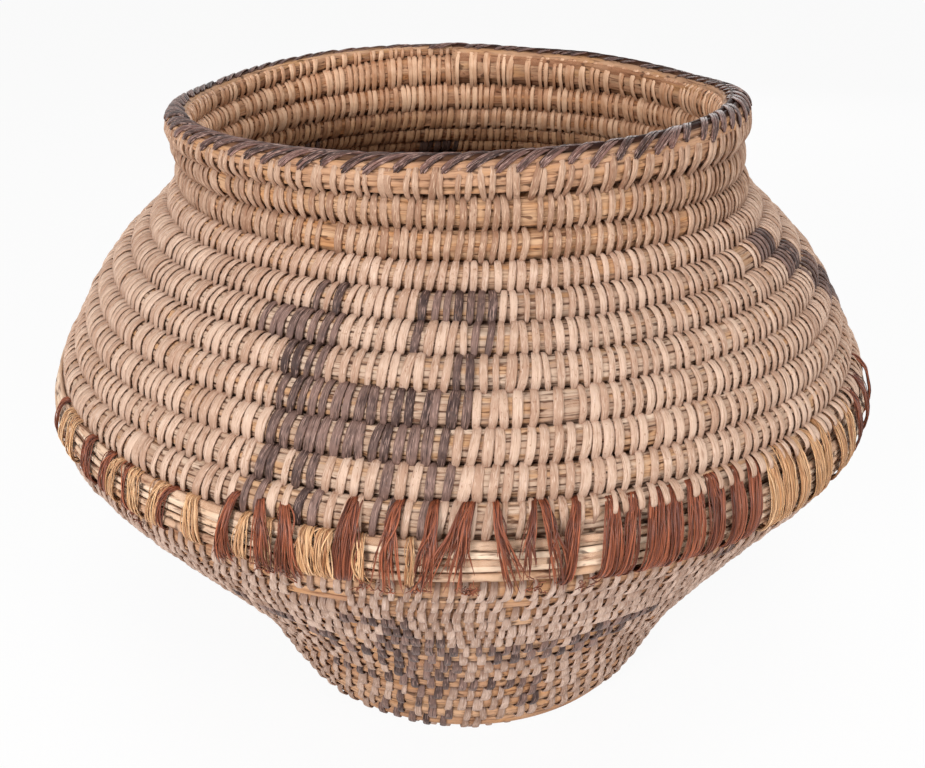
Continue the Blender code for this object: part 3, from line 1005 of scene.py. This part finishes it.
def makeKnot():
    # a tight ring of fibre round the middle of the knot, pressed against the coil's last turn
    held = bpy.data.objects["base_start_knot"]
    corners = np.array([held.matrix_world @ Vector(corner) for corner in held.bound_box]) * 1000
    low, high = corners.min(0), corners.max(0)
    middle = (low + high) / 2
    middle[:2] *= knot["towardsMiddle"]
    radius = (high[0] - low[0]) / 2
    turn = np.linspace(0, 2 * math.pi, knot["rows"], endpoint=False)[None, :]
    line = stacked(np.cos(turn), np.sin(turn), 0) * radius * knot["ring"] + middle
    sides = knot["stems"] * coil["pointsPerStem"]
    grooves = np.arange(sides) % coil["pointsPerStem"] == 0
    section = roundSection(sides) * np.where(grooves, knot["grooved"], 1)[:, None]
    sizes = np.ones((1, knot["rows"], 2)) * (high[2] / 2 - knot["offFloor"], radius * knot["thick"])
    strand, marks = strandMarks(line, sides)
    strand[..., 1] = np.arange(sides) / coil["pointsPerStem"]
    # painted shade in the grooves between its stems
    marks[..., 0] = grooves
    marks[..., 1] = 1
    makePiece(
        "knot_fibres", [(sweep(line, section, sizes, (0, 0, 1), True), strand, marks, True)],
        weatheredStems, replaces=["base_start_knot"],
    )
    print("knot made")


def strawBlock(first, last, place, out, halfWide, halfHigh):
    # one straw between two angles along the round, with ends that lift and drift a little
    rows = round((last - first) / repair["degreesPerStep"]) + 2
    along = np.linspace(0, 1, rows)[None, :]
    around = first + (last - first) * along
    down = repairMiddle(around / 360) - repair["rise"] + place + wander(1, rows, 0.32, 5)
    lift = out + wander(1, rows, 0.2, 5)
    end = np.minimum(along, 1 - along) * (last - first)
    lift += chance.uniform(0, 0.7) * np.exp(-end / 2.5)
    down += chance.normal(0, 0.5) * np.exp(-end / 3)
    middle = ontoWall(around + 180, down, lift)
    face = ontoWall(around + 180, down, lift + 1) - middle
    beside = unit(np.cross(face, unit(np.gradient(middle, axis=1))))
    twist = wander(1, rows, 0.3, 4)[..., None]
    section = roundSection(8)
    section = np.sign(section) * np.abs(section)**0.75
    ends = np.clip(end / 0.8, 0.35, 1)
    wide = halfWide * chance.uniform(0.72, 1.18) * (1 + wander(1, rows, 0.06, 4)) * ends
    high = halfHigh * chance.uniform(0.8, 1.15) * (1 + wander(1, rows, 0.06, 4)) * ends
    flat = beside * np.cos(twist) + face * np.sin(twist)
    tall = face * np.cos(twist) - beside * np.sin(twist)
    spots = middle[:, :, None] + flat[:, :, None] * section[:, :1] * wide[..., None, None]
    spots = spots + tall[:, :, None] * section[:, 1:] * high[..., None, None]
    return spots, *strandMarks(middle, 8), False


def makeStraws():
    reach = 360 / repair["pieces"]
    for layer, (across, out, halfWide, halfHigh, spread) in enumerate(repair["layers"]):
        blocks = []
        for index in range(across):
            place = spread * (2 * (index + 0.5) / across - 1)
            begin = chance.uniform(0, reach)
            for number in range(repair["pieces"] + 1):
                first = begin + (number - 1) * reach - chance.uniform(*repair["overlap"])
                last = begin + number * reach + chance.uniform(*repair["overlap"])
                first = max(-repair["seam"], first)
                last = min(360 + repair["seam"], last)
                if last - first >= repair["shortest"]:
                    blocks.append(strawBlock(first, last, place, out, halfWide, halfHigh))
        kind = repair["standsFor"][layer]
        names = [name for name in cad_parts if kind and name.startswith(f"repair_stem_{kind}")]
        makePiece(f"repair_straws_{layer + 1}", blocks, strawStems, sorted(names), 1)
    print("straws made")


# Ties by form: angle, width in mm, slant in mm from top to foot, and fibres
ties = {
    "red": {
        "low": ((-62, 5, 4, 9), (-49.6, 6, -3, 13), (-45.4, 5, 4, 9), (-41, 2, -3, 5), (-34, 3.4, 5, 7)),
        "fan": ((-25, 6, 3, 18), (-21.4, 6, -4, 16), (-18.6, 7, -4, 20)),
        "band": (
            (-11.6, 7, 4.2, 22), (11.6, 5, 8.5, 18), (60, 7, 2, 18), (65.5, 7, -2, 18), (71.5, 7, 3, 18),
        ),
        "tuft": (
            (-6.6, 6, 3, 16), (-3.2, 6.5, 4, 18), (-1.6, 3, 15, 8), (0.4, 6, 5.5, 16), (4.6, 5, -6.5, 15),
            (7.4, 3.4, 4, 9), (9.4, 4.4, -4.5, 11),
        ),
        "under": (
            (15.6, 5.4, 7, 16), (18.1, 6.4, 9, 20), (20.6, 6.8, 8, 21), (23.1, 6.6, 9, 21),
            (25.6, 6.8, 7, 21), (28.1, 6.8, 8.5, 21), (31.4, 6.4, 6.5, 19), (34.2, 6.2, 8, 18),
        ),
    },
    "tan": {
        "low": (
            (-59, 6, 5, 9), (-55.4, 5, -4, 8), (-43.5, 5, 5, 9), (-39.5, 4.5, -5, 9), (-35.5, 5, 5, 10),
            (-30, 6.5, -4, 14), (-23.2, 4, 2, 9), (-20, 3.6, -3, 8), (-15.6, 5.5, -3, 15),
            (-13.6, 6, -2, 16), (-10.2, 3.4, -4, 7), (-5.2, 2.4, 1, 5),
        ),
        "under": ((37.2, 6.4, 8, 18), (42.6, 6.4, 8, 18), (52, 6.8, -2, 18)),
        "band": ((39.9, 6.4, 4, 18), (45.7, 6.8, 0, 18), (48.6, 6.8, 6, 18), (55.8, 6.8, 5, 18)),
    },
    "back": {"band": tuple((angle, 5.2, 2, 14) for angle in (92, 116, 141, 165, 194, 219, 243, 267))},
}
frayFibres = {"count": 11, "rows": 9, "down": 7.2, "out": (5.6, 6.6), "step": (0.2, 0.62)}
# where short curled fibres stick out at the feet of the red ties
frays = (-39, -25.4, -21, -18, -9.8, -7.6, -4.6, 0.6, 1.2, 7.6, 12.8)
# the side view of a tie as (down, out) from the middle of the repair
tieLines = {
    "under": (
        (-18.2, 0.4), (-17.6, 2.2), (-16.0, 4.2), (-13.2, 5.1), (-10.6, 5.3), (-7.6, 5.6), (-3, 6.1),
        (3, 5.9), (6.3, 5.3), (8.2, 3.6), (8.6, 0.8),
    ),
    "band": (
        (-18.6, 0.4), (-17.6, 3.2), (-15.6, 4.9), (-12.8, 5.9), (-9.6, 6.3), (-6.2, 6.0), (-2, 6.0),
        (3, 5.9), (6.3, 5.3), (8.2, 3.6), (8.6, 0.8),
    ),
    "tuft": (
        (-19.0, 0.6), (-17.6, 4.4), (-15, 6.4), (-12, 7.0), (-9, 6.9), (-6.5, 6.8), (-4, 6.9), (-1, 7.0),
        (2, 7.0), (5, 6.8), (8.4, 6.4),
    ),
    "fan": (
        (-12.8, 3.2), (-11.8, 5.2), (-9.4, 6.1), (-6.5, 6.3), (-3.2, 6.4), (0.4, 6.4), (3.8, 6.2),
        (6.4, 5.8), (8.6, 5.2), (10.4, 4.6),
    ),
    "low": (
        (-7.0, 1.5), (-6.8, 4.0), (-5.5, 5.5), (-3.5, 5.9), (-1, 6.0), (2, 6.0), (4.5, 5.8), (6.4, 5.3),
        (7.8, 4.0), (8.4, 2.5), (8.6, 0.8),
    ),
}


# the half width and thickness of a fibre, how the layers lie over each other, and how many fibres
tieFibres = {
    "red": {"wide": 0.24, "thick": 0.17, "layer": 0.3, "more": 1.9, "slantSpread": 1.4},
    "tan": {"wide": 0.24, "thick": 0.17, "layer": 0.32, "more": 1.9, "slantSpread": 3},
    "back": {"wide": 0.32, "thick": 0.22, "layer": 0.26, "more": 1.5, "slantSpread": 1.4},
}
# the ties that end loose, with their shortest fibres' share of the length
looseTies = {"tuft": 0.6, "fan": 0.75}


def tieStrands(angle, form, width, slant, count, fibres):
    line = smoothPath(tieLines[form], 2)
    if form in ("under", "band"):
        width = width * chance.uniform(0.72, 1.02)
        slant = slant + chance.normal(0, fibres["slantSpread"])
    rows = len(line)
    along = np.linspace(0, 1, rows)[None, :]
    count = round(count * fibres["more"])
    order = np.linspace(-1, 1, count)[:, None] + chance.normal(0, 0.12, (count, 1))
    # fibres draw together where they go under the coil above, and spread below
    gathered = 0.35 + 0.65 * np.sin(math.pi * along**1.25)**0.8
    if form in looseTies:
        gathered = 0.28 + 0.8 * along**1.2
    downs = np.repeat(line[None, :, 0], count, 0)
    layer = chance.integers(0, 3, (count, 1)) * fibres["layer"]
    outs = line[:, 1] + layer * np.sin(math.pi * np.minimum(along * 1.1, 1)) + wander(count, rows, 0.12, 3)
    stray = chance.uniform(0, 1, (count, 1)) < 0.25
    outs = outs + stray * np.abs(wander(count, rows, 0.3, 2))
    if form == "under":
        hidden = np.clip((0.55 - along) / 0.2, 0, 1)
        outs = np.minimum(outs, line[:, 1] + 0.3 + 2 * (1 - hidden))
    bow = chance.normal(0, 0.8) * np.sin(math.pi * along)
    across = order * gathered * width / 2 + slant * (0.45 - along) + wander(count, rows, 0.3, 2) + bow
    across = across + stray * wander(count, rows, 0.7, 2)
    if form == "low":
        lean = slant * chance.normal(0, 0.6, (count, 1))
        across = across + wander(count, rows, 0.3, 2) + lean * (0.5 - along)
    taper = np.ones((1, rows))
    if form in looseTies:
        index = along * chance.uniform(looseTies[form], 1.0, (count, 1)) * (rows - 1)
        low = np.floor(index).astype(int)
        high = np.minimum(low + 1, rows - 1)

        def cut(values):
            before = np.take_along_axis(values, low, 1) * (1 - index + low)
            return before + np.take_along_axis(values, high, 1) * (index - low)

        flare = along**3
        across = cut(across) + chance.normal(0, 1.5, (count, 1)) * flare
        outs = cut(outs) + np.abs(chance.normal(0, 0.7, (count, 1))) * flare
        downs = cut(downs)
        taper = np.clip((1.05 - along) * 5, 0.3, 1)
    return fibreBlock(angle, stacked(across, downs, outs), taper, fibres)


def fibreBlock(angle, line, taper, fibres, side=(1, 0, 0)):
    wide = fibres["wide"] * chance.uniform(0.6, 1.35, (len(line), 1))
    spots = sweep(line, roundSection(6), stacked(wide * taper, fibres["thick"] * taper), side)
    middle = repairMiddle(roundShare(angle))
    degrees = angle + np.degrees(spots[..., 0] / (wallAt(middle)[0] + 5))
    return ontoWall(degrees, middle + spots[..., 1], spots[..., 2]), *strandMarks(line, 6), False


def frayStrands(angle, fibres):
    # short fibres that curl where a red tie ends
    count, rows = frayFibres["count"], frayFibres["rows"]
    along = np.linspace(0, 1, rows)[None, :]
    heading = chance.uniform(-3.2, 3.2, (count, 1)) + chance.normal(0, 2.4, (count, 1)) * along
    pace = chance.uniform(*frayFibres["step"], (count, 1))
    across = chance.normal(0, 1.3, (count, 1)) + np.cumsum(np.cos(heading) * pace, 1)
    downs = chance.normal(frayFibres["down"], 0.8, (count, 1)) + np.cumsum(np.sin(heading) * pace * 0.7, 1)
    outs = chance.uniform(*frayFibres["out"], (count, 1)) + wander(count, rows, 0.3, 2)
    return fibreBlock(angle, stacked(across, downs, outs), np.full((1, rows), 0.75), fibres, (0, 0, 1))


def makeTies():
    for kind, forms in ties.items():
        # from left to right
        listed = sorted((angle, form, *rest) for form, rows in forms.items() for angle, *rest in rows)
        blocks = [tieStrands(*tie, tieFibres[kind]) for tie in listed]
        if kind == "red":
            blocks += [frayStrands(angle, tieFibres[kind]) for angle in frays]
        material, slot = (redRaffia, "red_raffia") if kind == "red" else (tanRaffia, "tan_raffia")
        names = sorted(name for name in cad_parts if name.startswith(f"{kind}_raffia_tie"))
        makePiece(f"{kind}_ties", blocks, material, names)
    print("ties made")


studio = {
    "worldStrength": 0.25,
    "lamps": (
        ("key", (-0.82, -1.25, 0.6), 0.4, 16.0),
        ("fill", (1.2, -0.95, 0.58), 0.5, 9.0),
        ("top", (0.0, -0.5, 1.6), 0.6, 8.2),
        ("back", (0.4, 1.4, 0.6), 0.6, 2.5),
    ),
    "floor": {"colour": (246, 245, 244), "roughness": 0.9, "specular": 0.5},
    "floorEdge": 4,
    "aim": (0, 0, 0.13),
    "white": 0.93,
}


def brightRays(wire):
    # the rays that see a plain white background, in place of the light it gives
    outputs = wire.node("ShaderNodeLightPath").socket.node.outputs
    names = ("Is Camera Ray", "Is Glossy Ray", "Is Transmission Ray")
    camera, glossy, clear = [Wire(wire.tree, outputs[name]) for name in names]
    return camera.calc("MAXIMUM", camera, glossy.calc("MAXIMUM", glossy, clear))


def makeRoom():
    world = bpy.data.worlds.new("studio")
    bpy.context.scene.world = world
    world.use_nodes = True
    wire = Wire(world.node_tree)
    ground = world.node_tree.nodes["Background"]
    ground.inputs["Color"].default_value = (1, 1, 1, 1)
    strength = brightRays(wire) * (1 - studio["worldStrength"]) + studio["worldStrength"]
    world.node_tree.links.new(strength.socket, ground.inputs["Strength"])

    mesh = bpy.data.meshes.new("floor")
    edge = studio["floorEdge"]
    corners = [(-edge, -edge, 0), (edge, -edge, 0), (edge, edge, 0), (-edge, edge, 0)]
    mesh.from_pydata(corners, [], [(0, 1, 2, 3)])
    floor = addObject("floor", mesh)
    made, shader, wire = newMaterial("pale_floor", studio["floor"])
    shader.inputs["Base Color"].default_value = linear(studio["floor"]["colour"])
    white = wire.node("ShaderNodeEmission", None, {"Color": (1, 1, 1, 1), "Strength": 1.0})
    share = brightRays(wire) * studio["white"]
    plain = Wire(wire.tree, shader.outputs[0])
    both = wire.node("ShaderNodeMixShader", None, {0: share, 1: plain, 2: white})
    wire.tree.links.new(both.socket, wire.tree.nodes["Material Output"].inputs["Surface"])
    mesh.materials.append(made)

    for name, place, size, power in studio["lamps"]:
        data = bpy.data.lights.new(name, "AREA")
        data.size = size
        data.energy = power
        lamp = addObject(name, data)
        lamp.location = place
        aim = Vector(studio["aim"]) - Vector(place)
        lamp.rotation_euler = aim.to_track_quat("-Z", "Y").to_euler()
    print("room made")


view = {
    "place": (0, -0.4303, 0.3491),
    "lookDown": 26.35,
    "lens": 39.92,
}


def makeCamera():
    data = bpy.data.cameras.new("camera")
    data.lens = view["lens"]
    data.sensor_width = 36
    data.sensor_fit = "HORIZONTAL"
    data.clip_start = 0.01
    camera = addObject("camera", data)
    camera.location = view["place"]
    camera.rotation_euler = (math.radians(90 - view["lookDown"]), 0, 0)
    bpy.context.scene.camera = camera
    bpy.context.scene.view_settings.view_transform = "Standard"


makeCamera()
makeRoom()
makeCoils()
makeStitches()
makeRim()
makeKnot()
makeStraws()
makeTies()
